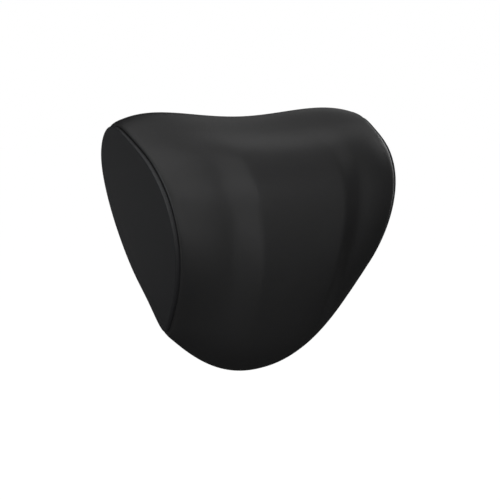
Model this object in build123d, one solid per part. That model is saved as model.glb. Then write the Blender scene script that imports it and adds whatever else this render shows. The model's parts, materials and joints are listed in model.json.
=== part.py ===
from build123d import *
import math
import os

# A headrest attachment for an office chair: an upholstered pad on a friction tilt hinge, which rides on a
# carriage that slides up and down a rail. The rail's plate bolts to the back of the chair.
# Millimetres. The origin is the centre of the plate's rear face. +Z is up, the pad faces -Y, and left and
# right are as seen by someone who stands in front of the pad, so right is +X.

# ---------------------------------------------------------------- driving dimensions

# Mounting plate, cut from steel sheet
PLATE_T = 4.0
PLATE_CORNER_R = 8.0
PLATE_MARGIN = 1.5          # plate past each end stop
CHAIR_BOLT_HOLE_R = 3.3     # M6 clearance
CHAIR_BOLT_HEAD_R = 6.5
CHAIR_BOLT_HEAD_ROOM = 2.5  # between a bolt's head and the carriage cover
CHAIR_BOLT_EDGE_X = 8.0
CHAIR_BOLT_EDGE_Z = 12.0

# Rail, an extruded T
RAIL_HEAD_W = 30.0
RAIL_HEAD_D = 7.0
RAIL_NECK_W = 18.0
RAIL_NECK_D = 7.0
HEIGHT_TRAVEL = 60.0
STOP_GAP = 0.5              # carriage to end stop at the limit of travel
STOP_T = 4.0
STOP_LIP = 2.0
STOP_PEG_R = 2.5
STOP_PEG_L = 8.0
STOP_PEG_FIT = 0.05         # radial
RAIL_SCREW_R = 2.5
RAIL_SCREW_HEAD_R = 4.6
RAIL_SCREW_HEAD_H = 2.2
RAIL_SCREW_L = 12.0
RAIL_SCREW_PITCH = 36.0
RAIL_SCREW_HEX = (1.7, 1.5)

# Carriage, a die-cast block with nylon liners
CARRIAGE_W = 42.0
CARRIAGE_H = 48.0
CARRIAGE_REAR_GAP = 2.0     # carriage to plate
CARRIAGE_FRONT_WALL = 10.4
LINER_T = 1.5
GLIDE_CLEARANCE = 0.1       # liner to rail
NECK_CLEARANCE = 1.6
COVER_T = 1.8
COVER_FIT = 0.2
COVER_WINDOW_H = 27.0
SHOE_W = 14.0
SHOE_H = 9.0
SHOE_D = 5.0
SHOE_DROP = 17.0            # shoe's centre below the pivot
BRAKE_SPRING_T = 0.8
TENSION_SCREW_R = 3.0
TENSION_SCREW_L = 3.6
TENSION_SCREW_HEX = (1.6, 1.8)  # a hex socket's corner radius and depth

# Tilt pivot
HINGE_REACH = 14.0          # pivot axis in front of the carriage's face
KNUCKLE_R = 10.0
KNUCKLE_W = 27.0
BUSH_WALL = 1.5
BUSH_FLANGE_T = 1.4
BUSH_FLANGE_R = 9.0
BUSH_BARREL_L = 12.0
WASHER_RUN = 0.1            # bush flange to ear
PIVOT_R = 5.0
PIN_CLEARANCE = 0.05        # radial, at every pin and screw
PIVOT_HEAD_R = 8.0
PIVOT_HEAD_T = 5.0
PIVOT_THREAD_R = 4.0
DISC_SPRING_T = 1.2
DISC_SPRING_R = 8.6
DISC_SPRING_COUNT = 2
NUT_T = 8.0
NUT_ACROSS_FLATS = 13.0
THREAD_PAST_NUT = 1.5
PIVOT_CAP_WALL = 1.4
PIVOT_CAP_ROOM = 0.6

# Pad bracket, folded and welded steel
BRACKET_T = 3.0
BRACKET_REACH = 13.0        # pivot axis behind the bracket's base
BRACKET_W = 62.0
BRACKET_H = 80.0
BRACKET_CORNER_R = 6.0
EAR_R = 9.5
EAR_FOOT_H = 36.0
BRACKET_SCREW_X = 23.0
BRACKET_SCREW_Z = 30.0
BRACKET_SCREW_R = 3.0
BRACKET_SCREW_HEAD_R = 5.5
BRACKET_SCREW_HEAD_T = 3.3
BRACKET_SCREW_HEX = (2.3, 1.9)
TEE_NUT_FLANGE_R = 9.0
TEE_NUT_FLANGE_T = 1.5
TEE_NUT_BARREL_R = 4.2
FOAM_POCKET_ROOM = 0.3
SCREW_TIP_ROOM = 3.0

# Pad. Each outline is (y, z) about the pad's own centre, from the top down the front to the bottom and up the
# back, and the two have their points in the same order.
PAD_TO_SEAT = 48.0          # pad's centre in front of the bracket's base
PAD_HALF_W = 128.0          # to the end cap's face, level with the pivot
END_TAPER = 11.8            # degrees: the end caps lean out towards the top
CENTRE_OUTLINE = [
    (24, 116), (-18, 102), (-50, 87), (-70, 62), (-76.5, 33), (-76, 5), (-70.5, -31), (-58.5, -75),
    (-37, -116), (8, -136), (38, -114), (46, -72), (47, -25), (47, 41), (44, 91),
]
END_OUTLINE = [
    (5.5, 113), (-16.5, 103.5), (-43, 83.5), (-59, 58), (-63.5, 31), (-59, 0), (-46, -31.5), (-32, -53.5),
    (-22, -67), (-13, -76), (4, -56), (22, -26.5), (36, 9.5), (42.5, 56.5), (33, 93.5),
]
BLEND_POWER = 2.2           # how late along its width the pad takes its end outline
SHOULDER_RISE = 8.8         # the top's swell at each side of its dip
RISE_POWER = 3              # keeps the swell to the top
STATIONS = [-1, -0.88, -0.66, -0.36, 0, 0.36, 0.66, 0.88, 1]
UPHOLSTERY_T = 2.5
CAP_T = 4.0
BOARD_T = 6.0
BOARD_BACK = 32.0           # board's back, behind the pad's centre
SHELL_T = 3.0
SEAT_W = 72.0
SEAT_H = 92.0
SEAT_WALL = 10.0
SEAT_FLOOR = 5.0
CAP_PEG = (12.0, 3.0, 12.0)
CAP_PEG_Z = (22.0, 74.0)
CAP_PEG_CLEARANCE = 0.2
SHELL_SCREW_SPOTS = [(-72, 58), (72, 58), (-56, -52), (56, -52)]
SHELL_SCREW_SEAT = 37.0     # screw head's seat, behind the pad's centre
SHELL_SCREW_R = 1.75
SHELL_SCREW_HEAD_R = 3.4
SHELL_SCREW_HEAD_T = 2.4
SHELL_SCREW_HEX = (1.45, 1.4)
SHELL_SCREW_GRIP = 5.0      # in the board
SHELL_BOSS_R = 6.5
SHELL_SCREW_ROOM = 0.4
FAR = 400.0                 # longer than anything here
CUT_PAST = 1.0              # how far a cut runs past a face

# ---------------------------------------------------------------- positions worked out from them

STOP_W = RAIL_HEAD_W + 2 * STOP_LIP
RAIL_L = CARRIAGE_H + HEIGHT_TRAVEL + 2 * STOP_GAP
RAIL_TOP = RAIL_L / 2
HEAD_REAR_Y = -(PLATE_T + RAIL_NECK_D)
RAIL_FRONT_Y = HEAD_REAR_Y - RAIL_HEAD_D
SLOT_GAP = LINER_T + GLIDE_CLEARANCE
SLOT_FRONT_Y = RAIL_FRONT_Y - SLOT_GAP
SLOT_REAR_Y = HEAD_REAR_Y + SLOT_GAP
CARRIAGE_REAR_Y = -(PLATE_T + CARRIAGE_REAR_GAP)
CARRIAGE_FRONT_Y = SLOT_FRONT_Y - CARRIAGE_FRONT_WALL
COVER_W = CARRIAGE_W + 2 * (COVER_T + COVER_FIT)
COVER_FRONT_Y = CARRIAGE_FRONT_Y - COVER_FIT - COVER_T
CHAIR_BOLT_SPACING_X = COVER_W + 2 * (CHAIR_BOLT_HEAD_R + CHAIR_BOLT_HEAD_ROOM)
PLATE_W = CHAIR_BOLT_SPACING_X + 2 * CHAIR_BOLT_EDGE_X
PLATE_H = RAIL_L + 2 * (STOP_T + PLATE_MARGIN)
CHAIR_BOLT_SPACING_Z = PLATE_H - 2 * CHAIR_BOLT_EDGE_Z
HINGE_Y = CARRIAGE_FRONT_Y - HINGE_REACH
EAR_GAP = KNUCKLE_W + 2 * (BUSH_FLANGE_T + WASHER_RUN)
EAR_OUTER_X = EAR_GAP / 2 + BRACKET_T
BRACKET_REAR_Y = HINGE_Y - BRACKET_REACH
SEAT_Y = BRACKET_REAR_Y - BRACKET_T
PAD_Y = SEAT_Y - PAD_TO_SEAT
BOARD_BACK_Y = PAD_Y + BOARD_BACK
BOARD_FRONT_Y = BOARD_BACK_Y - BOARD_T
TAPER = math.tan(math.radians(END_TAPER))

parts = {}


# ---------------------------------------------------------------- shapes used more than once


def block(x, y, z):
    """A box between two values on each axis."""
    size = (x[1] - x[0], y[1] - y[0], z[1] - z[0])
    centre = ((x[0] + x[1]) / 2, (y[0] + y[1]) / 2, (z[0] + z[1]) / 2)
    return Pos(*centre) * Box(*size)


def rod_y(radius, y0, y1, x=0.0, z=0.0):
    """A cylinder along Y between two depths."""
    return Pos(x, (y0 + y1) / 2, z) * Rot(90, 0, 0) * Cylinder(radius, abs(y1 - y0))


def rod_x(radius, x0, x1):
    """A cylinder along the tilt pivot between two widths."""
    return Pos((x0 + x1) / 2, HINGE_Y, 0) * Rot(0, 90, 0) * Cylinder(radius, abs(x1 - x0))


def hex_socket(size, mouth_y, way, x=0.0, z=0.0):
    """A hex key's socket that goes in from its mouth, along +Y where way is 1 and along -Y where it is -1."""
    radius, depth = size
    return Pos(x, mouth_y + way * depth / 2, z) * Rot(90, 0, 0) * extrude(
        RegularPolygon(radius, 6), depth / 2, both=True
    )


def four(x, z):
    """The corners of a rectangular pattern."""
    return [(sx * x, sz * z) for sx in (-1, 1) for sz in (-1, 1)]


# ---------------------------------------------------------------- plate and rail

plate = block((-PLATE_W / 2, PLATE_W / 2), (-PLATE_T, 0), (-PLATE_H / 2, PLATE_H / 2))
plate = fillet(plate.edges().filter_by(Axis.Y), PLATE_CORNER_R)
for x, z in four(CHAIR_BOLT_SPACING_X / 2, CHAIR_BOLT_SPACING_Z / 2):
    plate -= rod_y(CHAIR_BOLT_HOLE_R, -PLATE_T - CUT_PAST, CUT_PAST, x, z)

rail_neck = block((-RAIL_NECK_W / 2, RAIL_NECK_W / 2), (HEAD_REAR_Y, -PLATE_T), (-RAIL_TOP, RAIL_TOP))
rail_head = block((-RAIL_HEAD_W / 2, RAIL_HEAD_W / 2), (RAIL_FRONT_Y, HEAD_REAR_Y), (-RAIL_TOP, RAIL_TOP))
rail = rail_neck + rail_head

rail_screws = []
for z in (-RAIL_SCREW_PITCH, 0, RAIL_SCREW_PITCH):
    head = Pos(0, -RAIL_SCREW_HEAD_H / 2, z) * Rot(-90, 0, 0) * Cone(
        RAIL_SCREW_R, RAIL_SCREW_HEAD_R, RAIL_SCREW_HEAD_H
    )
    screw = head + rod_y(RAIL_SCREW_R, -RAIL_SCREW_HEAD_H, -RAIL_SCREW_L, z=z)
    rail_screws.append(screw - hex_socket(RAIL_SCREW_HEX, 0, -1, z=z))
    plate -= screw
    rail -= screw

end_stops = []
stop_y = ((RAIL_FRONT_Y + HEAD_REAR_Y) / 2, RAIL_FRONT_Y - STOP_LIP)
for side in (-1, 1):
    near, far = side * RAIL_TOP, side * (RAIL_TOP + STOP_T)
    flange = block((-STOP_W / 2, STOP_W / 2), (stop_y[1], -PLATE_T), sorted((near, far)))
    flange = fillet(flange.edges().filter_by(Axis.Z).sort_by(Axis.Y)[:2], STOP_LIP)
    peg_z = near - side * STOP_PEG_L / 2
    peg = Pos(0, stop_y[0], peg_z) * Cylinder(STOP_PEG_R, STOP_PEG_L)
    rail -= Pos(0, stop_y[0], peg_z) * Cylinder(STOP_PEG_R + STOP_PEG_FIT, STOP_PEG_L)
    end_stops.append(flange + peg)

parts["mount_plate"] = plate
parts["height_rail"] = rail
parts["rail_screws"] = Compound(rail_screws)
parts["rail_end_stops"] = Compound(end_stops)

# ---------------------------------------------------------------- carriage

half_h = CARRIAGE_H / 2
slot_half_w = RAIL_HEAD_W / 2 + SLOT_GAP
neck_half_w = RAIL_NECK_W / 2 + NECK_CLEARANCE
carriage = block((-CARRIAGE_W / 2, CARRIAGE_W / 2), (CARRIAGE_FRONT_Y, CARRIAGE_REAR_Y), (-half_h, half_h))
carriage -= block((-slot_half_w, slot_half_w), (SLOT_FRONT_Y, SLOT_REAR_Y), (-FAR, FAR))
carriage -= block((-neck_half_w, neck_half_w), (SLOT_REAR_Y, FAR), (-FAR, FAR))
carriage += block((-KNUCKLE_W / 2, KNUCKLE_W / 2), (HINGE_Y, CARRIAGE_FRONT_Y), (-KNUCKLE_R, KNUCKLE_R))
carriage += rod_x(KNUCKLE_R, -KNUCKLE_W / 2, KNUCKLE_W / 2)
bush_r = PIVOT_R + PIN_CLEARANCE + BUSH_WALL
carriage -= rod_x(bush_r, -KNUCKLE_W, KNUCKLE_W)

# Friction brake: a shoe that a spring strip presses on the rail, set by a grub screw below the knuckle.
shoe_front_y = RAIL_FRONT_Y - SHOE_D
spring_front_y = shoe_front_y - BRAKE_SPRING_T
shoe_z = (-SHOE_DROP - SHOE_H / 2, -SHOE_DROP + SHOE_H / 2)
carriage -= block((-SHOE_W / 2, SHOE_W / 2), (spring_front_y, SLOT_FRONT_Y), shoe_z)
grub_y = (spring_front_y - TENSION_SCREW_L, spring_front_y)
carriage -= rod_y(TENSION_SCREW_R, CARRIAGE_FRONT_Y - CUT_PAST, spring_front_y, z=-SHOE_DROP)
brake_shoe = block((-SHOE_W / 2, SHOE_W / 2), (shoe_front_y, RAIL_FRONT_Y - GLIDE_CLEARANCE / 2), shoe_z)
brake_spring = block((-SHOE_W / 2, SHOE_W / 2), (spring_front_y, shoe_front_y), shoe_z)
tension_screw = rod_y(TENSION_SCREW_R, *grub_y, z=-SHOE_DROP)
tension_screw -= hex_socket(TENSION_SCREW_HEX, grub_y[0], 1, z=-SHOE_DROP)

liners = []
for side in (-1, 1):
    outer_x = sorted((side * (RAIL_NECK_W / 2 + GLIDE_CLEARANCE), side * slot_half_w))
    inner_x = sorted((0, side * (RAIL_HEAD_W / 2 + GLIDE_CLEARANCE)))
    liner = block(outer_x, (SLOT_FRONT_Y, SLOT_REAR_Y), (-half_h, half_h))
    liner -= block(inner_x, (SLOT_FRONT_Y + LINER_T, SLOT_REAR_Y - LINER_T), (-FAR, FAR))
    liners.append(liner)

bushes = []
for side in (-1, 1):
    flange_x = (side * KNUCKLE_W / 2, side * (KNUCKLE_W / 2 + BUSH_FLANGE_T))
    bush = rod_x(bush_r, side * (KNUCKLE_W / 2 - BUSH_BARREL_L), flange_x[0]) + rod_x(BUSH_FLANGE_R, *flange_x)
    bushes.append(bush - rod_x(PIVOT_R + PIN_CLEARANCE, -FAR / 2, FAR / 2))

cover_in = (CARRIAGE_W / 2 + COVER_FIT, CARRIAGE_FRONT_Y - COVER_FIT)
cover = block((-COVER_W / 2, COVER_W / 2), (COVER_FRONT_Y, CARRIAGE_REAR_Y), (-half_h, half_h))
cover = fillet(cover.edges().filter_by(Axis.Z).sort_by(Axis.Y)[:2], COVER_T)
cover -= block((-cover_in[0], cover_in[0]), (cover_in[1], FAR), (-FAR, FAR))
cover -= block((-FAR, FAR), (-FAR, cover_in[1]), (-COVER_WINDOW_H / 2, COVER_WINDOW_H / 2))
cover -= rod_y(TENSION_SCREW_R, COVER_FRONT_Y - CUT_PAST, CARRIAGE_FRONT_Y, z=-SHOE_DROP)

parts["carriage_block"] = carriage
parts["carriage_cover"] = cover
parts["glide_liner_left"] = liners[0]
parts["glide_liner_right"] = liners[1]
parts["brake_shoe"] = brake_shoe
parts["brake_spring"] = brake_spring
parts["tension_screw"] = tension_screw
parts["pivot_bushes"] = Compound(bushes)

# ---------------------------------------------------------------- tilt pivot

nut_start_x = EAR_OUTER_X + DISC_SPRING_COUNT * DISC_SPRING_T
nut_x = (nut_start_x, nut_start_x + NUT_T)
thread_end_x = nut_x[1] + THREAD_PAST_NUT
bolt_hole_r = PIVOT_THREAD_R + PIN_CLEARANCE
pivot_bolt = rod_x(PIVOT_HEAD_R, -EAR_OUTER_X - PIVOT_HEAD_T, -EAR_OUTER_X)
pivot_bolt += rod_x(PIVOT_R, -EAR_OUTER_X, EAR_OUTER_X)
pivot_bolt += rod_x(PIVOT_THREAD_R, EAR_OUTER_X, thread_end_x)

disc_springs = []
for i in range(DISC_SPRING_COUNT):
    start_x = EAR_OUTER_X + i * DISC_SPRING_T
    ring = rod_x(DISC_SPRING_R, start_x, start_x + DISC_SPRING_T)
    disc_springs.append(ring - rod_x(bolt_hole_r, start_x - CUT_PAST, start_x + DISC_SPRING_T + CUT_PAST))

nut_prism = extrude(RegularPolygon(NUT_ACROSS_FLATS / 2, 6, major_radius=False), NUT_T / 2, both=True)
lock_nut = Pos((nut_x[0] + nut_x[1]) / 2, HINGE_Y, 0) * Rot(0, 90, 0) * nut_prism
lock_nut -= rod_x(bolt_hole_r, nut_x[0] - CUT_PAST, nut_x[1] + CUT_PAST)

pivot_cap_in_r = DISC_SPRING_R + PIVOT_CAP_ROOM
pivot_cap_in_x = thread_end_x + PIVOT_CAP_ROOM
pivot_caps = []
for side in (-1, 1):
    cup = rod_x(pivot_cap_in_r + PIVOT_CAP_WALL, side * EAR_OUTER_X, side * (pivot_cap_in_x + PIVOT_CAP_WALL))
    cup = fillet(cup.edges().sort_by(Axis.X)[-1 if side > 0 else 0], PIVOT_CAP_WALL)
    pivot_caps.append(cup - rod_x(pivot_cap_in_r, side * (EAR_OUTER_X - CUT_PAST), side * pivot_cap_in_x))

bracket = block((-BRACKET_W / 2, BRACKET_W / 2), (SEAT_Y, BRACKET_REAR_Y), (-BRACKET_H / 2, BRACKET_H / 2))
bracket = fillet(bracket.edges().filter_by(Axis.Y), BRACKET_CORNER_R)
ear_foot = [
    (BRACKET_REAR_Y, -EAR_FOOT_H / 2),
    (BRACKET_REAR_Y, EAR_FOOT_H / 2),
    (HINGE_Y, EAR_R),
    (HINGE_Y, -EAR_R),
]
for side in (-1, 1):
    start = side * EAR_GAP / 2 if side > 0 else -EAR_OUTER_X
    ear = Pos(start, 0, 0) * extrude(Plane.YZ * make_face(Polyline(*ear_foot, close=True)), BRACKET_T)
    ear += rod_x(EAR_R, start, start + BRACKET_T)
    bracket += ear
bracket -= rod_x(PIVOT_R + PIN_CLEARANCE, -FAR / 2, FAR / 2)

parts["pivot_bolt"] = pivot_bolt
parts["disc_springs"] = Compound(disc_springs)
parts["lock_nut"] = lock_nut
parts["pivot_caps"] = Compound(pivot_caps)

# ---------------------------------------------------------------- pad


def pad_outline(share, inset):
    """The pad's outline at a share of its half width, from 0 at the centre to 1 at an end cap's face."""
    blend = abs(share) ** BLEND_POWER
    swell = SHOULDER_RISE * 4 * share**2 * (1 - share**2)
    points = []
    for (cy, cz), (ey, ez) in zip(CENTRE_OUTLINE, END_OUTLINE):
        y = cy + (ey - cy) * blend
        z = cz + (ez - cz) * blend
        z += swell * (max(z, 0) / CENTRE_OUTLINE[0][1]) ** RISE_POWER
        points.append((y, z))
    moved = []
    for i, (y, z) in enumerate(points):
        before = points[i - 1]
        after = points[(i + 1) % len(points)]
        along = math.hypot(after[0] - before[0], after[1] - before[1])
        moved.append((y + inset * (before[1] - after[1]) / along, z + inset * (after[0] - before[0]) / along))
    return moved


def pad_solid(inset):
    """The whole pad, lofted through its outlines and drawn in by an inset."""
    sections = []
    for share in STATIONS:
        points = [Vector(share * (PAD_HALF_W + TAPER * z), PAD_Y + y, z) for y, z in pad_outline(share, inset)]
        sections.append(Face(Wire([Edge.make_spline(points, periodic=True)])))
    return Solid.make_loft([s.outer_wire() for s in sections])


def between_ends(drop):
    """Everything between the end caps' faces, moved in by a distance."""
    reach = PAD_HALF_W - drop
    corners = [(reach + TAPER * z, z) for z in (-FAR / 2, FAR / 2)]
    corners += [(-x, z) for x, z in reversed(corners)]
    return extrude(Plane.XZ * make_face(Polyline(*corners, close=True)), FAR, both=True)


outer = pad_solid(0)
lining = pad_solid(UPHOLSTERY_T)
shell_lining = pad_solid(SHELL_T)
middle = between_ends(CAP_T)
ahead = block((-FAR, FAR), (-FAR, BOARD_BACK_Y), (-FAR, FAR))
behind = block((-FAR, FAR), (BOARD_BACK_Y, FAR), (-FAR, FAR))

front_cover = (outer - lining) & middle & ahead
foam_core = lining & middle & block((-FAR, FAR), (-FAR, BOARD_FRONT_Y), (-FAR, FAR))
board = lining & middle & block((-FAR, FAR), (BOARD_FRONT_Y, BOARD_BACK_Y), (-FAR, FAR))
back_shell = (outer - shell_lining) & middle & behind
ends = outer - middle
left_end_cap = ends & block((-FAR, 0), (-FAR, FAR), (-FAR, FAR))
right_end_cap = ends & block((0, FAR), (-FAR, FAR), (-FAR, FAR))

# Seat for the bracket: a ring wall and a floor behind the board.
seat = block((-SEAT_W / 2, SEAT_W / 2), (BOARD_BACK_Y, SEAT_Y), (-SEAT_H / 2, SEAT_H / 2))
well_x = SEAT_W / 2 - SEAT_WALL
well_z = BRACKET_SCREW_Z - TEE_NUT_FLANGE_R
back_shell += seat
back_shell -= block((-SEAT_W / 2, SEAT_W / 2), (SEAT_Y, FAR), (-SEAT_H / 2, SEAT_H / 2))
back_shell -= block((-well_x, well_x), (BOARD_BACK_Y, SEAT_Y - SEAT_FLOOR), (-well_z, well_z))

# Bracket screws pass through the seat and the board into tee nuts pressed in from the foam's side.
bracket_screws = []
tee_nuts = []
tip_y = BOARD_FRONT_Y - TEE_NUT_FLANGE_T
for x, z in four(BRACKET_SCREW_X, BRACKET_SCREW_Z):
    head_y = BRACKET_REAR_Y + BRACKET_SCREW_HEAD_T
    screw = rod_y(BRACKET_SCREW_R, tip_y, BRACKET_REAR_Y, x, z)
    screw += rod_y(BRACKET_SCREW_HEAD_R, BRACKET_REAR_Y, head_y, x, z)
    bracket_screws.append(screw - hex_socket(BRACKET_SCREW_HEX, head_y, -1, x, z))
    nut = rod_y(TEE_NUT_FLANGE_R, tip_y, BOARD_FRONT_Y, x, z) + rod_y(TEE_NUT_BARREL_R, tip_y, BOARD_BACK_Y, x, z)
    tee_nuts.append(nut - rod_y(BRACKET_SCREW_R + PIN_CLEARANCE, -FAR, 0, x, z))
    bracket -= rod_y(BRACKET_SCREW_R + PIN_CLEARANCE, -FAR, 0, x, z)
    back_shell -= rod_y(BRACKET_SCREW_R + PIN_CLEARANCE, -FAR, 0, x, z)
    board -= rod_y(TEE_NUT_BARREL_R + PIN_CLEARANCE, -FAR, 0, x, z)
    foam_core -= rod_y(TEE_NUT_FLANGE_R + FOAM_POCKET_ROOM, tip_y - SCREW_TIP_ROOM, 0, x, z)

# The back shell's own screws, each in a counterbored boss.
shell_screws = []
screw_seat_y = PAD_Y + SHELL_SCREW_SEAT
hidden_pad = shell_lining & middle & behind
for x, z in SHELL_SCREW_SPOTS:
    back_shell += rod_y(SHELL_BOSS_R, BOARD_BACK_Y, FAR, x, z) & hidden_pad
    back_shell -= rod_y(SHELL_SCREW_HEAD_R + SHELL_SCREW_ROOM, screw_seat_y, FAR, x, z)
    back_shell -= rod_y(SHELL_SCREW_R + PIN_CLEARANCE, -FAR, screw_seat_y + CUT_PAST, x, z)
    head_y = screw_seat_y + SHELL_SCREW_HEAD_T
    screw = rod_y(SHELL_SCREW_HEAD_R, screw_seat_y, head_y, x, z)
    screw += rod_y(SHELL_SCREW_R, BOARD_BACK_Y - SHELL_SCREW_GRIP, screw_seat_y, x, z)
    shell_screws.append(screw - hex_socket(SHELL_SCREW_HEX, head_y, -1, x, z))
    board -= rod_y(SHELL_SCREW_R + PIN_CLEARANCE, BOARD_BACK_Y - SHELL_SCREW_GRIP, FAR, x, z)

# Each end cap has two pegs that snap into slots in the board's ends.
peg_l, peg_t, peg_h = CAP_PEG
peg_y = (BOARD_FRONT_Y + BOARD_BACK_Y) / 2
for z in CAP_PEG_Z:
    end_x = PAD_HALF_W + TAPER * z - CAP_T
    for side in (-1, 1):
        reach_x = sorted((side * (end_x - peg_l), side * (end_x + CAP_T / 2)))
        peg = block(reach_x, (peg_y - peg_t / 2, peg_y + peg_t / 2), (z - peg_h / 2, z + peg_h / 2))
        room = CAP_PEG_CLEARANCE
        slot_x = (reach_x[0] - room, reach_x[1] + room)
        slot_z = (z - peg_h / 2 - room, z + peg_h / 2 + room)
        board -= block(slot_x, (peg_y - peg_t / 2 - room, peg_y + peg_t / 2 + room), slot_z)
        if side < 0:
            left_end_cap += peg
        else:
            right_end_cap += peg

parts["pad_bracket"] = bracket
parts["bracket_screws"] = Compound(bracket_screws)
parts["tee_nuts"] = Compound(tee_nuts)
parts["carrier_board"] = board
parts["foam_core"] = foam_core
parts["front_cover"] = front_cover
parts["left_end_cap"] = left_end_cap
parts["right_end_cap"] = right_end_cap
parts["back_shell"] = back_shell
parts["shell_screws"] = Compound(shell_screws)

# ---------------------------------------------------------------- output

os.makedirs("parts", exist_ok=True)
for name, shape in parts.items():
    export_step(shape, f"parts/{name}.step")
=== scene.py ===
import json
import math

import bmesh
import bpy
import numpy as np
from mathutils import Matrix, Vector


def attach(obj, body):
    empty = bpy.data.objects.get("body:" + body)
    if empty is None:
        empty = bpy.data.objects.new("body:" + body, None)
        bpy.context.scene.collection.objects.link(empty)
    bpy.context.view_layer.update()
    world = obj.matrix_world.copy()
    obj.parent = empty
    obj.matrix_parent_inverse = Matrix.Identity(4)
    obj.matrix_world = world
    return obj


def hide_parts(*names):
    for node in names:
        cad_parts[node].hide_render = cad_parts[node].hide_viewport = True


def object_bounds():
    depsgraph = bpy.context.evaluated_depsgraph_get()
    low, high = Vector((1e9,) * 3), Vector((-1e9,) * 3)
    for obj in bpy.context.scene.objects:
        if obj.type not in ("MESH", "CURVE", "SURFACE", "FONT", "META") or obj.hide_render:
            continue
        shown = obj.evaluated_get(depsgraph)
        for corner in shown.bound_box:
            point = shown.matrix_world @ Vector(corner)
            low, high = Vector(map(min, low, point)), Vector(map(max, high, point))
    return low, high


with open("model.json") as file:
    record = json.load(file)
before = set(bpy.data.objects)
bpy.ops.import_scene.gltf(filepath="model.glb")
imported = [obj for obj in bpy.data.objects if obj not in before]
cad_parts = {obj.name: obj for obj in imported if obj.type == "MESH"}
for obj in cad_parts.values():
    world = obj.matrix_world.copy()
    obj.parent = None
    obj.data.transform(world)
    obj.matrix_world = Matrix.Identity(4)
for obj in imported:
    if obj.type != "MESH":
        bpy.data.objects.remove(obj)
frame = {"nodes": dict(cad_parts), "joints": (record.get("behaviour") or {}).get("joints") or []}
cad_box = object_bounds()

# ------------------------------------------------------------------------------------------ cushion
# The cushion is one block of moulded foam under a leatherette cover. The cover is pulled tight round the
# front, glued into a groove beside each end cap, and wrapped round the carrier board at the back.

MM = 0.001
pivot_y = next(j for j in frame["joints"] if j["name"] == "pad_tilt")["pos_m"][1] / MM
PAD_Y = pivot_y - 64.0
PAD_HALF_WIDTH = 128.0
END_TAPER = math.tan(math.radians(11.8))
CENTRE_OUTLINE = [
    (24, 116), (-18, 102), (-51, 87), (-72, 62), (-79, 33), (-78.5, 5), (-72.5, -31), (-59, -75),
    (-37, -116), (8, -136), (38, -114), (46, -72), (47, -25), (47, 41), (44, 91),
]
END_OUTLINE = [
    (5.5, 113), (-16.5, 103.5), (-43, 83.5), (-59, 58), (-63.5, 31), (-59, 0), (-46, -31.5), (-32, -53.5),
    (-22, -67), (-13, -76), (4, -56), (22, -26.5), (36, 9.5), (42.5, 56.5), (33, 93.5),
]
BLEND_POWER = 2.2
SHOULDER_RISE = 8.8
RIDGE_HOLD = [0, 0.6, 1, 1, 1, 1, 0.7, 0.3]   # how much of each outline point keeps to the ridge
RIDGE_SHARE = 0.38        # where the flat front turns back to each end
RIDGE_SOFTNESS = 0.014
RIDGE_TILT = 0.80         # how much of the turn comes straight after the ridge
RIDGE_TILT_REACH = 0.18
END_ROLL_SHARE = 0.36     # the last stretch rolls over into the groove
END_ROLL_PART = 0.46
BOARD_BACK = 32.0
CAP_THICKNESS = 4.0
GROOVE = [   # distance from the end cap, and depth below the cover
    (0.0, 2.4), (0.1, 1.7), (0.25, 0.75), (0.5, 0.3), (0.9, 0.05), (2.0, -0.15), (4.0, -0.3), (7.0, -0.25),
]
PUFF_BESIDE_GROOVE = 0.3
PUFF_REACH = 3             # in widths of the groove
GROOVE_MARGIN = 1.15
BACK_FOLD = [(2.2, 0.05), (1.1, 0.35), (0.35, 1.1), (0.05, 2.2)]   # ahead of the board's back, in from the edge
BACK_HEM = [(0.6, 5.0), (6.0, 6.0)]
OUTLINE_STEPS = 1200
SPINE_STEPS = 16
ROUND_STEPS = 260
ACROSS_STEPS = 150


def ridge_turn(share):
    """How far the front has turned back, from 0 on the flat middle to 1 at an end."""
    def bend(a, place, softness):
        return softness * math.log1p(math.exp((a - place) / softness))

    def risen(a, place, softness):
        return (bend(a, place, softness) - bend(0, place, softness)) / (1 - place)
    steep = risen(share, RIDGE_SHARE, RIDGE_SOFTNESS) - risen(
        share, RIDGE_SHARE + RIDGE_TILT_REACH, 1.6 * RIDGE_SOFTNESS
    ) * (1 - RIDGE_SHARE - RIDGE_TILT_REACH) / (1 - RIDGE_SHARE)
    steep *= (1 - RIDGE_SHARE) / RIDGE_TILT_REACH
    flat = risen(share, RIDGE_SHARE, RIDGE_SOFTNESS)
    roll = max(0.0, 1 - (1 - share) / END_ROLL_SHARE) ** 2
    return (1 - END_ROLL_PART) * (RIDGE_TILT * steep + (1 - RIDGE_TILT) * flat) + END_ROLL_PART * roll


def pad_outline(share):
    """The pad's outline, as (y, z) points, at a share of its half width."""
    share = abs(share)
    blend = share**BLEND_POWER
    turn = ridge_turn(share)
    swell = SHOULDER_RISE * 4 * share**2 * (1 - share**2)
    points = []
    for i, ((cy, cz), (ey, ez)) in enumerate(zip(CENTRE_OUTLINE, END_OUTLINE)):
        hold = RIDGE_HOLD[i] if i < len(RIDGE_HOLD) else 0
        y = cy + (ey - cy) * (hold * turn + (1 - hold) * blend)
        z = cz + (ez - cz) * blend
        points.append((y, z + swell * (max(z, 0) / CENTRE_OUTLINE[0][1]) ** 3))
    return np.array(points)


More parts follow.
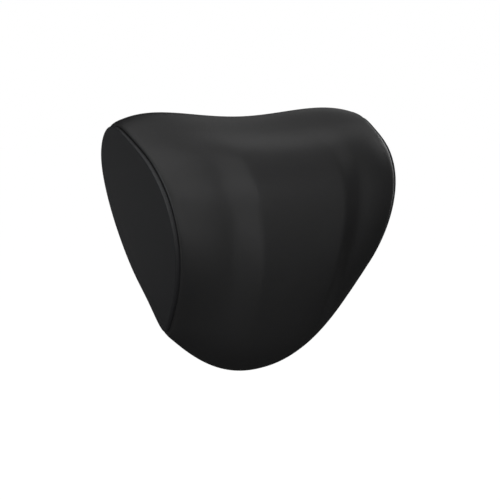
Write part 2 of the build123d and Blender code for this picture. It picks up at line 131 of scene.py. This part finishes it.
def drawn_curve(points, places):
    """A smooth closed curve through an outline, at places measured along its chords."""
    chord = np.linalg.norm(np.roll(points, -1, 0) - points, axis=1)
    n = len(points)
    system = np.zeros((n, n))
    for i in range(n):
        system[i, i - 1] += chord[i - 1]
        system[i, i] += 2 * (chord[i - 1] + chord[i])
        system[i, (i + 1) % n] += chord[i]
    slope = (np.roll(points, -1, 0) - points) / chord[:, None]
    bend = np.linalg.solve(system, 6 * (slope - np.roll(slope, 1, 0)))
    start = np.concatenate([[0], np.cumsum(chord)])
    places = np.asarray(places) % start[-1]
    i = np.clip(np.searchsorted(start, places, side="right") - 1, 0, n - 1)
    j, h, t = (i + 1) % n, chord[i][:, None], (places - start[i])[:, None]
    left = bend[i] * (h - t) ** 3 / (6 * h) + (points[i] / h - bend[i] * h / 6) * (h - t)
    right = bend[j] * t**3 / (6 * h) + (points[j] / h - bend[j] * h / 6) * t
    return left + right


def girth(points):
    return np.linalg.norm(np.roll(points, -1, 0) - points, axis=1).sum()


def outward(curve, closed):
    """The outward normal at each point of a curve that runs down the front of the pad."""
    along = np.roll(curve, -1, 0) - np.roll(curve, 1, 0)
    if not closed:
        along[0], along[-1] = curve[1] - curve[0], curve[-1] - curve[-2]
    normal = np.stack([along[:, 1], -along[:, 0]], 1)
    return normal / np.linalg.norm(normal, axis=1)[:, None]


def even_steps(curve, count):
    """The same curve at evenly spaced points."""
    run = np.concatenate([[0], np.cumsum(np.linalg.norm(np.diff(curve, axis=0), axis=1))])
    steps = np.linspace(0, run[-1], count)
    return np.stack([np.interp(steps, run, curve[:, k]) for k in (0, 1)], 1)


def cushion_ring(share, inset):
    """One loop of the cushion: round the front from the top of the back to its bottom, then up the board."""
    outline = pad_outline(share)
    whole = girth(outline)
    fine = drawn_curve(outline, np.linspace(0, whole, OUTLINE_STEPS, endpoint=False))
    edge = BOARD_BACK - BACK_FOLD[0][0]
    behind = fine[:, 0] > edge
    first, last = np.flatnonzero(behind)[[0, -1]]
    front = np.concatenate([fine[last + 1:], fine[:first]])
    front = even_steps(front, ROUND_STEPS)
    normal = outward(front, closed=False)
    front = front - inset * normal
    top, bottom = front[0], front[-1]
    fold_top, fold_bottom = [], []
    for ahead, down in BACK_FOLD[1:] + BACK_HEM:
        fold_top.append((BOARD_BACK - ahead, top[1] - down))
        fold_bottom.append((BOARD_BACK - ahead, bottom[1] + down))
    spine = np.linspace(fold_bottom[-1], fold_top[-1], SPINE_STEPS)[1:-1]
    return np.concatenate([front, fold_bottom, spine, fold_top[::-1]])


def in_place(curve, share):
    """Outline points of the pad as points in space, in metres."""
    y, z = curve[:, 0], curve[:, 1]
    x = share * (PAD_HALF_WIDTH + END_TAPER * z)
    return np.stack([x, PAD_Y + y, z], 1) * MM


def tube_of_rings(name, rings):
    """A closed mesh through rings of equal length, fanned shut at both ends."""
    mesh = bmesh.new()
    rows = [[mesh.verts.new(p) for p in ring] for ring in rings]
    for a, b in zip(rows, rows[1:]):
        for i in range(len(a)):
            j = (i + 1) % len(a)
            mesh.faces.new((a[i], a[j], b[j], b[i]))
    for row, flip in ((rows[0], True), (rows[-1], False)):
        hub = mesh.verts.new(sum((v.co for v in row), Vector()) / len(row))
        for i in range(len(row)):
            j = (i + 1) % len(row)
            mesh.faces.new((row[j], row[i], hub) if flip else (row[i], row[j], hub))
    bmesh.ops.recalc_face_normals(mesh, faces=mesh.faces)
    data = bpy.data.meshes.new(name)
    mesh.to_mesh(data)
    mesh.free()
    data.shade_smooth()
    piece = bpy.data.objects.new(name, data)
    bpy.context.scene.collection.objects.link(piece)
    return piece


cushion_rings = []
middle_shares = np.linspace(-1, 1, ACROSS_STEPS)
groove_reach = GROOVE[-1][0] / PAD_HALF_WIDTH
end_share = 1 - CAP_THICKNESS / PAD_HALF_WIDTH
middle_shares = [a for a in middle_shares if abs(a) < end_share - groove_reach * GROOVE_MARGIN]
left_groove = [(-end_share + s / PAD_HALF_WIDTH, inset) for s, inset in GROOVE]
right_groove = [(-a, inset) for a, inset in reversed(left_groove)]
for share, inset in left_groove + [(a, 0.0) for a in middle_shares] + right_groove:
    beside = max(0.0, 1 - (end_share - abs(share)) / (PUFF_REACH * groove_reach))
    inset = inset if inset else -PUFF_BESIDE_GROOVE * beside**2
    cushion_rings.append(in_place(cushion_ring(share, inset), share))
cushion = tube_of_rings("cushion", cushion_rings)


def new_group(name, inputs, outputs):
    """An empty shader node group with plain named sockets."""
    group = bpy.data.node_groups.new(name, "ShaderNodeTree")
    for label, kind, default in inputs:
        socket = group.interface.new_socket(label, in_out="INPUT", socket_type=kind)
        socket.default_value = default
    for label, kind in outputs:
        group.interface.new_socket(label, in_out="OUTPUT", socket_type=kind)
    return group, group.nodes.new("NodeGroupInput"), group.nodes.new("NodeGroupOutput")


# Leather grain: small rounded pebbles with creases between them, over slow, slight unevenness.
grain_group, grain_in, grain_out = new_group(
    "leather grain",
    [("Pebbles per metre", "NodeSocketFloat", 1300.0), ("Unevenness per metre", "NodeSocketFloat", 40.0)],
    [("Height", "NodeSocketFloat"), ("Crease", "NodeSocketFloat"), ("Patch", "NodeSocketFloat")],
)
nodes, links = grain_group.nodes, grain_group.links
place = nodes.new("ShaderNodeTexCoord")
pebbles = nodes.new("ShaderNodeTexVoronoi")
pebbles.feature = "SMOOTH_F1"
pebbles.inputs["Smoothness"].default_value = 0.35
pebbles.inputs["Randomness"].default_value = 0.85
links.new(place.outputs["Object"], pebbles.inputs["Vector"])
links.new(grain_in.outputs["Pebbles per metre"], pebbles.inputs["Scale"])
unevenness = nodes.new("ShaderNodeTexNoise")
unevenness.inputs["Detail"].default_value = 3.0
links.new(place.outputs["Object"], unevenness.inputs["Vector"])
links.new(grain_in.outputs["Unevenness per metre"], unevenness.inputs["Scale"])
crease = nodes.new("ShaderNodeMapRange")
crease.inputs["From Min"].default_value = 0.35
crease.inputs["From Max"].default_value = 0.75
links.new(pebbles.outputs["Distance"], crease.inputs["Value"])
height = nodes.new("ShaderNodeMath")
height.operation = "SUBTRACT"
height.inputs[0].default_value = 1.0
links.new(pebbles.outputs["Distance"], height.inputs[1])
links.new(height.outputs[0], grain_out.inputs["Height"])
links.new(crease.outputs["Result"], grain_out.inputs["Crease"])
links.new(unevenness.outputs["Fac"], grain_out.inputs["Patch"])


def surface_material(name, base, roughness, metallic=0.0, specular=0.5):
    """A material with its Principled shader set up and its tree ready for more."""
    material = bpy.data.materials.new(name)
    material.use_nodes = True
    shader = material.node_tree.nodes["Principled BSDF"]
    shader.inputs["Base Color"].default_value = (*base, 1)
    shader.inputs["Roughness"].default_value = roughness
    shader.inputs["Metallic"].default_value = metallic
    shader.inputs["Specular IOR Level"].default_value = specular
    return material, material.node_tree, shader


def with_group(tree, group):
    node = tree.nodes.new("ShaderNodeGroup")
    node.node_tree = group
    return node


def varied_value(tree, mask, low, high):
    """A value that goes from low to high as a mask goes from 0 to 1."""
    spread = tree.nodes.new("ShaderNodeMapRange")
    spread.inputs["To Min"].default_value = low
    spread.inputs["To Max"].default_value = high
    tree.links.new(mask, spread.inputs["Value"])
    return spread.outputs["Result"]


def varied_colour(tree, mask, first, second):
    """A colour that goes from the first to the second as a mask goes from 0 to 1."""
    mix = tree.nodes.new("ShaderNodeMix")
    mix.data_type = "RGBA"
    mix.inputs["A"].default_value = (*first, 1)
    mix.inputs["B"].default_value = (*second, 1)
    tree.links.new(mask, mix.inputs["Factor"])
    return mix.outputs["Result"]


def relief(tree, shader, height_socket, depth, strength=1.0):
    """Fine relief on a surface, its depth in metres."""
    bump = tree.nodes.new("ShaderNodeBump")
    bump.inputs["Distance"].default_value = depth
    bump.inputs["Strength"].default_value = strength
    tree.links.new(height_socket, bump.inputs["Height"])
    tree.links.new(bump.outputs["Normal"], shader.inputs["Normal"])


leatherette, tree, shader = surface_material(
    "soft black leatherette", (0.016, 0.016, 0.0165), 0.52, specular=0.42
)
grain = with_group(tree, grain_group)
base = varied_colour(tree, grain.outputs["Patch"], (0.015, 0.015, 0.0155), (0.0175, 0.0175, 0.018))
tree.links.new(base, shader.inputs["Base Color"])
tree.links.new(varied_value(tree, grain.outputs["Crease"], 0.48, 0.56), shader.inputs["Roughness"])
relief(tree, shader, grain.outputs["Height"], 0.00003, 0.5)
cushion.data.materials.append(leatherette)
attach(cushion, "pad")
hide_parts("front_cover", "foam_core")

# ----------------------------------------------------------------------------------------- end caps
# Each end of the pad is closed by a flat moulded cap with a rolled edge and a fine spark-eroded texture.
# Its pegs snap into the carrier board, and its edge hides the glued hem of the cover.

CAP_EDGE_RADIUS = 1.5
CAP_EDGE_STEPS = 7
CAP_FACE_RINGS = [0.5, 1.2]
CAP_FACE_SHARES = [0.85, 0.6, 0.3]


def cap_curve(inset):
    """The end cap's outline, drawn in by a distance."""
    outline = pad_outline(1.0)
    fine = drawn_curve(outline, np.linspace(0, girth(outline), ROUND_STEPS, endpoint=False))
    return fine - inset * outward(fine, closed=True)


def end_cap(name, side):
    """One end cap, from its hidden back over its rolled edge to the middle of its face."""
    loops = [(CAP_THICKNESS, 3.0), (CAP_THICKNESS, 0.4), (CAP_THICKNESS - 0.2, 0.1), (CAP_THICKNESS - 0.5, 0.0)]
    for i in range(CAP_EDGE_STEPS + 1):
        turn = math.pi / 2 * i / CAP_EDGE_STEPS
        loops.append((CAP_EDGE_RADIUS * (1 - math.sin(turn)), CAP_EDGE_RADIUS * (1 - math.cos(turn))))
    loops += [(0.0, CAP_EDGE_RADIUS + d) for d in CAP_FACE_RINGS]
    rings = []
    for depth, inset in loops:
        ring = in_place(cap_curve(inset), side)
        ring[:, 0] -= side * depth * MM
        rings.append(ring)
    middle = rings[-1].mean(0)
    rings += [middle + (rings[-1] - middle) * part for part in CAP_FACE_SHARES]
    return tube_of_rings(name, rings)


# Moulded plastic texture: a fine sparkle from the eroded mould over slight unevenness.
mould_group, mould_in, mould_out = new_group(
    "moulded texture",
    [("Grains per metre", "NodeSocketFloat", 2200.0)],
    [("Height", "NodeSocketFloat"), ("Patch", "NodeSocketFloat")],
)
nodes, links = mould_group.nodes, mould_group.links
place = nodes.new("ShaderNodeTexCoord")
grains = nodes.new("ShaderNodeTexNoise")
grains.inputs["Detail"].default_value = 2.0
links.new(place.outputs["Object"], grains.inputs["Vector"])
links.new(mould_in.outputs["Grains per metre"], grains.inputs["Scale"])
patch = nodes.new("ShaderNodeTexNoise")
patch.inputs["Scale"].default_value = 25.0
links.new(place.outputs["Object"], patch.inputs["Vector"])
links.new(grains.outputs["Fac"], mould_out.inputs["Height"])
links.new(patch.outputs["Fac"], mould_out.inputs["Patch"])

# Worn edges: how much a surface turns within a small radius, broken up by slow noise.
wear_group, wear_in, wear_out = new_group(
    "worn edges",
    [("Radius", "NodeSocketFloat", 0.0008), ("Breakup per metre", "NodeSocketFloat", 220.0)],
    [("Mask", "NodeSocketFloat")],
)
nodes, links = wear_group.nodes, wear_group.links
rounded = nodes.new("ShaderNodeBevel")
rounded.samples = 6
links.new(wear_in.outputs["Radius"], rounded.inputs["Radius"])
true_face = nodes.new("ShaderNodeNewGeometry")
agreement = nodes.new("ShaderNodeVectorMath")
agreement.operation = "DOT_PRODUCT"
links.new(rounded.outputs["Normal"], agreement.inputs[0])
links.new(true_face.outputs["Normal"], agreement.inputs[1])
edge = nodes.new("ShaderNodeMapRange")
edge.inputs["From Min"].default_value = 0.995
edge.inputs["From Max"].default_value = 0.90
links.new(agreement.outputs["Value"], edge.inputs["Value"])
place = nodes.new("ShaderNodeTexCoord")
breakup = nodes.new("ShaderNodeTexNoise")
breakup.inputs["Detail"].default_value = 3.0
links.new(place.outputs["Object"], breakup.inputs["Vector"])
links.new(wear_in.outputs["Breakup per metre"], breakup.inputs["Scale"])
broken = nodes.new("ShaderNodeMapRange")
broken.inputs["From Min"].default_value = 0.42
broken.inputs["From Max"].default_value = 0.62
links.new(breakup.outputs["Fac"], broken.inputs["Value"])
worn = nodes.new("ShaderNodeMath")
worn.operation = "MULTIPLY"
links.new(edge.outputs["Result"], worn.inputs[0])
links.new(broken.outputs["Result"], worn.inputs[1])
links.new(worn.outputs["Value"], wear_out.inputs["Mask"])


def moulded_plastic(name, dark, light, rubbed, roughness, depth):
    """Moulded plastic: textured, slightly uneven in colour, and smoother where its edges are rubbed."""
    material, tree, shader = surface_material(name, dark, roughness)
    texture = with_group(tree, mould_group)
    wear = with_group(tree, wear_group)
    base = varied_colour(tree, texture.outputs["Patch"], dark, light)
    mix = tree.nodes.new("ShaderNodeMix")
    mix.data_type = "RGBA"
    tree.links.new(base, mix.inputs["A"])
    mix.inputs["B"].default_value = (*rubbed, 1)
    tree.links.new(wear.outputs["Mask"], mix.inputs["Factor"])
    tree.links.new(mix.outputs["Result"], shader.inputs["Base Color"])
    rough = varied_value(tree, wear.outputs["Mask"], roughness, roughness - 0.15)
    tree.links.new(rough, shader.inputs["Roughness"])
    relief(tree, shader, texture.outputs["Height"], depth, 0.6)
    return material


cap_plastic = moulded_plastic(
    "end cap plastic", (0.0135, 0.014, 0.0155), (0.015, 0.0155, 0.017), (0.018, 0.0185, 0.02), 0.5, 0.00002
)
for side, word in ((-1, "left"), (1, "right")):
    cap = end_cap(f"{word}_end_cap_moulding", side)
    cap.data.materials.append(cap_plastic)
    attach(cap, "pad")
    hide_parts(f"{word}_end_cap")

# --------------------------------------------------------------------------- back shell and covers
# The back shell, the carriage's cover and the pivot's snap caps are moulded in one black plastic, with a
# spark-eroded texture that is polished a little where hands and cloth rub the edges.


def finish_nodes(material, *names):
    """Gives CAD nodes their material."""
    for name in names:
        data = frame["nodes"][name].data
        data.materials.clear()
        data.materials.append(material)


shell_plastic = moulded_plastic(
    "black shell plastic", (0.013, 0.013, 0.014), (0.018, 0.018, 0.019), (0.03, 0.03, 0.031), 0.5, 0.00003
)
finish_nodes(shell_plastic, "back_shell", "carriage_cover", "pivot_caps")

# -------------------------------------------------------------------------------- plate and bracket
# The mounting plate and the pad's bracket are cut and folded from steel sheet and powder coated. The coat
# has a slight orange peel, and is rubbed through to grey at the sheet's edges.


def coated_metal(name, dark, light, bare, roughness, peel):
    """Painted or powder-coated metal with orange peel and rubbed edges."""
    material, tree, shader = surface_material(name, dark, roughness)
    texture = with_group(tree, mould_group)
    texture.inputs["Grains per metre"].default_value = 700.0
    wear = with_group(tree, wear_group)
    wear.inputs["Radius"].default_value = 0.0005
    base = varied_colour(tree, texture.outputs["Patch"], dark, light)
    mix = tree.nodes.new("ShaderNodeMix")
    mix.data_type = "RGBA"
    tree.links.new(base, mix.inputs["A"])
    mix.inputs["B"].default_value = (*bare, 1)
    tree.links.new(wear.outputs["Mask"], mix.inputs["Factor"])
    tree.links.new(mix.outputs["Result"], shader.inputs["Base Color"])
    tree.links.new(varied_value(tree, wear.outputs["Mask"], 0.0, 0.7), shader.inputs["Metallic"])
    rough = varied_value(tree, texture.outputs["Patch"], roughness - 0.05, roughness + 0.06)
    tree.links.new(rough, shader.inputs["Roughness"])
    relief(tree, shader, texture.outputs["Height"], peel, 0.5)
    return material


black_powder = coated_metal(
    "black powder coat", (0.018, 0.018, 0.019), (0.024, 0.024, 0.025), (0.16, 0.16, 0.16), 0.42, 0.00008
)
finish_nodes(black_powder, "mount_plate", "pad_bracket")

# ---------------------------------------------------------------------------------- carriage block
# A die-cast block in dark grey paint, with the castings' fine dimpled skin.

cast_paint = coated_metal(
    "dark grey cast paint", (0.045, 0.045, 0.048), (0.06, 0.06, 0.063), (0.3, 0.3, 0.3), 0.48, 0.00012
)
finish_nodes(cast_paint, "carriage_block")

# ---------------------------------------------------------------------------------- rail and screws
# The rail is an aluminium extrusion, anodised dark grey, with fine drawn lines along its length. Screws,
# the shoulder bolt and nuts are zinc-plated steel with turning marks; springs are bare spring steel.

# Drawn lines: noise stretched along one direction, with slow smudges of handling over it.
line_group, line_in, line_out = new_group(
    "drawn lines",
    [("Stretch", "NodeSocketVector", (1.0, 1.0, 0.02)), ("Lines per metre", "NodeSocketFloat", 3000.0)],
    [("Height", "NodeSocketFloat"), ("Smudge", "NodeSocketFloat")],
)
nodes, links = line_group.nodes, line_group.links
place = nodes.new("ShaderNodeTexCoord")
stretched = nodes.new("ShaderNodeVectorMath")
stretched.operation = "MULTIPLY"
links.new(place.outputs["Object"], stretched.inputs[0])
links.new(line_in.outputs["Stretch"], stretched.inputs[1])
lines = nodes.new("ShaderNodeTexNoise")
lines.inputs["Detail"].default_value = 2.0
links.new(stretched.outputs["Vector"], lines.inputs["Vector"])
links.new(line_in.outputs["Lines per metre"], lines.inputs["Scale"])
smudge = nodes.new("ShaderNodeTexNoise")
smudge.inputs["Scale"].default_value = 60.0
smudge.inputs["Detail"].default_value = 4.0
links.new(place.outputs["Object"], smudge.inputs["Vector"])
links.new(lines.outputs["Fac"], line_out.inputs["Height"])
links.new(smudge.outputs["Fac"], line_out.inputs["Smudge"])


def bare_metal(name, dark, light, roughness, stretch, depth):
    """Bare, plated or anodised metal with drawn or turned lines and slight smudges."""
    material, tree, shader = surface_material(name, dark, roughness, metallic=1.0)
    marks = with_group(tree, line_group)
    marks.inputs["Stretch"].default_value = stretch
    tree.links.new(varied_colour(tree, marks.outputs["Smudge"], dark, light), shader.inputs["Base Color"])
    rough = varied_value(tree, marks.outputs["Smudge"], roughness - 0.08, roughness + 0.08)
    tree.links.new(rough, shader.inputs["Roughness"])
    relief(tree, shader, marks.outputs["Height"], depth, 0.4)
    return material


ALONG_RAIL = (1.0, 1.0, 0.02)
ROUND_SCREW = (1.0, 0.05, 1.0)
anodised = bare_metal(
    "dark anodised aluminium", (0.10, 0.10, 0.105), (0.14, 0.14, 0.145), 0.36, ALONG_RAIL, 0.00001
)
finish_nodes(anodised, "height_rail")
zinc = bare_metal("zinc plated steel", (0.45, 0.46, 0.47), (0.58, 0.59, 0.60), 0.3, ROUND_SCREW, 0.00001)
finish_nodes(zinc, "rail_screws", "bracket_screws", "pivot_bolt", "lock_nut", "tee_nuts")
spring_steel = bare_metal("spring steel", (0.20, 0.19, 0.18), (0.30, 0.29, 0.28), 0.35, ROUND_SCREW, 0.00001)
finish_nodes(spring_steel, "brake_spring", "disc_springs")
black_oxide = bare_metal(
    "black oxide steel", (0.03, 0.03, 0.032), (0.05, 0.05, 0.052), 0.4, ROUND_SCREW, 0.00001
)
finish_nodes(black_oxide, "tension_screw", "shell_screws")

# ------------------------------------------------------------------- nylon, rubber and carrier board
# The liners, bushes and end stops are moulded nylon, the brake's shoe is hard rubber, and the carrier
# board is moulded in glass-filled plastic. None of them is polished.

white_nylon = moulded_plastic(
    "white nylon", (0.62, 0.61, 0.57), (0.70, 0.69, 0.65), (0.74, 0.73, 0.70), 0.42, 0.00001
)
finish_nodes(white_nylon, "glide_liner_left", "glide_liner_right", "pivot_bushes")
stop_nylon = moulded_plastic(
    "black nylon", (0.02, 0.02, 0.02), (0.03, 0.03, 0.03), (0.05, 0.05, 0.05), 0.5, 0.00002
)
finish_nodes(stop_nylon, "rail_end_stops")
rubber = moulded_plastic(
    "hard black rubber", (0.015, 0.015, 0.015), (0.03, 0.03, 0.03), (0.04, 0.04, 0.04), 0.8, 0.00006
)
finish_nodes(rubber, "brake_shoe")
board_plastic = moulded_plastic(
    "grey board plastic", (0.05, 0.05, 0.05), (0.07, 0.07, 0.07), (0.09, 0.09, 0.09), 0.6, 0.00005
)
finish_nodes(board_plastic, "carrier_board")

# --------------------------------------------------------------------------------- floor and studio
# A plain pale floor well below the pad, a pale surround, and large soft panels as in a product studio.

FLOOR_DROP = 0.55
floor_mesh = bpy.data.meshes.new("floor")
floor_mesh.from_pydata([(-9, -9, 0), (9, -9, 0), (9, 9, 0), (-9, 9, 0)], [], [(0, 1, 2, 3)])
floor = bpy.data.objects.new("floor", floor_mesh)
floor.location.z = cad_box[0].z - FLOOR_DROP
bpy.context.scene.collection.objects.link(floor)
pale, tree, shader = surface_material("pale floor", (0.05, 0.05, 0.05), 0.9)
shader.inputs["Emission Strength"].default_value = 1.0
seen = tree.nodes.new("ShaderNodeLightPath")
glow = varied_colour(tree, seen.outputs["Is Camera Ray"], (0, 0, 0), (1, 1, 1))
tree.links.new(glow, shader.inputs["Emission Color"])
floor.data.materials.append(pale)

world = bpy.data.worlds.new("pale surround")
bpy.context.scene.world = world
world.use_nodes = True
tree = world.node_tree
background = tree.nodes["Background"]
seen = tree.nodes.new("ShaderNodeLightPath")
level = varied_value(tree, seen.outputs["Is Camera Ray"], 0.01, 1.0)
background.inputs["Color"].default_value = (1, 1, 1, 1)
tree.links.new(level, background.inputs["Strength"])

pad_centre = Vector((0, PAD_Y * MM, 0))


def panel(name, azimuth, elevation, distance, size, power):
    """A soft light panel that faces the pad. Azimuth 0 is straight in front and 90 is on the right."""
    a, e = math.radians(azimuth), math.radians(elevation)
    away = Vector((math.sin(a) * math.cos(e), -math.cos(a) * math.cos(e), math.sin(e)))
    data = bpy.data.lights.new(name, "AREA")
    data.shape = "RECTANGLE"
    data.size, data.size_y = size
    data.energy = power
    light = bpy.data.objects.new(name, data)
    light.location = pad_centre + away * distance
    light.rotation_euler = away.to_track_quat("Z", "Y").to_euler()
    light.visible_camera = False
    bpy.context.scene.collection.objects.link(light)


panel("overhead panel", 20, 80, 1.5, (1.2, 1.2), 6.5)
panel("upper front panel", 0, 50, 1.6, (1.0, 0.7), 2.6)
panel("front panel", 15, 28, 1.6, (0.6, 0.6), 3.5)
panel("narrow front strip", 0, -6, 1.6, (0.25, 0.8), 1.3)
panel("narrow left strip", -12, -6, 1.6, (0.25, 0.8), 2.2)
panel("low front panel", 15, -25, 1.6, (0.6, 0.6), 1.7)
panel("front right panel", 42, 0, 1.6, (0.6, 0.9), 0.7)
panel("left key panel", -60, 25, 1.6, (0.8, 0.8), 4.8)
panel("low left panel", -75, -5, 1.6, (0.6, 0.9), 7.0)
panel("high right panel", 125, 35, 1.6, (0.7, 0.6), 1.15)
panel("right rim strip", 104, 8, 1.5, (0.3, 0.8), 4.4)
panel("rear left panel", -140, 10, 1.6, (0.8, 1.0), 0.9)
panel("low rear panel", 172, -16, 1.7, (1.1, 0.8), 6.0)

# ------------------------------------------------------------------------------------------- camera
# The camera stands to the left of the pad and a little above it, far enough back for a calm perspective.

CAMERA_DISTANCE = 0.8915
CAMERA_AZIMUTH = -37.8
CAMERA_ELEVATION = 10.17
a, e = math.radians(CAMERA_AZIMUTH), math.radians(CAMERA_ELEVATION)
away = Vector((math.sin(a) * math.cos(e), -math.cos(a) * math.cos(e), math.sin(e)))
camera = bpy.data.objects.new("camera", bpy.data.cameras.new("camera"))
camera.data.sensor_width = 36.0
camera.data.lens = 64.8
camera.data.shift_x = -0.0047
camera.data.shift_y = -0.0282
camera.location = pad_centre + away * CAMERA_DISTANCE
camera.rotation_euler = away.to_track_quat("Z", "Y").to_euler()
bpy.context.scene.collection.objects.link(camera)
bpy.context.scene.camera = camera
bpy.context.scene.view_settings.view_transform = "Standard"
